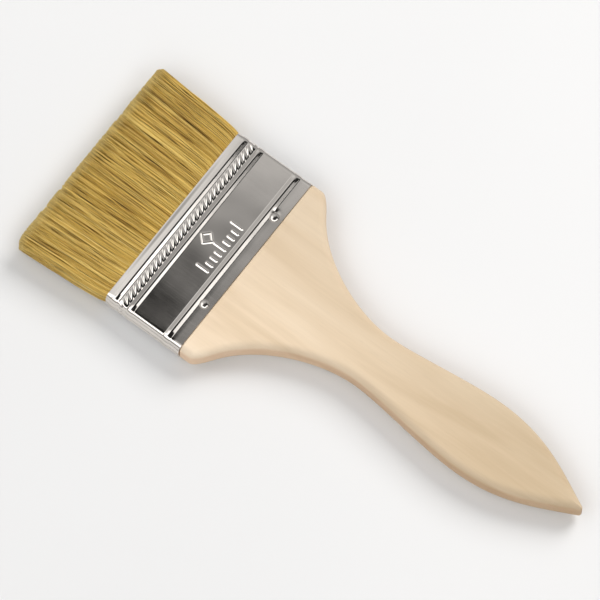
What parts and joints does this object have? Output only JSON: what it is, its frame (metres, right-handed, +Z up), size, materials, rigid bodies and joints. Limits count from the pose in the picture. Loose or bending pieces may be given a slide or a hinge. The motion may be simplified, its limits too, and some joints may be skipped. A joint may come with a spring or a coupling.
{
  "type": "flat paint brush",
  "caption": "Flat paint brush with a shaped wooden handle, a beaded sheet steel ferrule held by small nails, and bristles that bend.",
  "frame": {"origin": "under the middle of the brush's box, on the surface it lies on", "axes": "+X across the width, +Y from the handle to the bristle tips, +Z up out of the front face, which bears the embossed marks"},
  "size_m": [0.0836, 0.2176, 0.0121],
  "materials": {
    "pale_wood": "bare sanded hardwood, satin",
    "tinned_steel": "bright tinned sheet, lightly marked",
    "nail_steel": "bright domed nail",
    "spacer_wood": "rough sawn strip",
    "resin": "set amber resin with bristle butts in it",
    "bristle": "natural straw-coloured bristle, dry"
  },
  "bodies": {
    "brush": {"handle": "pale_wood", "ferrule": "tinned_steel", "nail_front_left": "nail_steel", "nail_front_right": "nail_steel", "nail_back_left": "nail_steel", "nail_back_right": "nail_steel", "spacer_strip": "spacer_wood", "bristle_setting": "resin", "bristle_root_front": "bristle", "bristle_root_back": "bristle"},
    "bristles": {"bristle_ends_front": "bristle", "bristle_ends_back": "bristle"}
  },
  "joints": [
    {"name": "bristle_bend", "type": "hinge", "parent": "brush", "child": "bristles", "pos_m": [0, 0.08095, 0.00605], "axis": [1, 0, 0], "range_deg": [-45, 45], "stiffness_Nm_per_rad": 0.1}
  ]
}
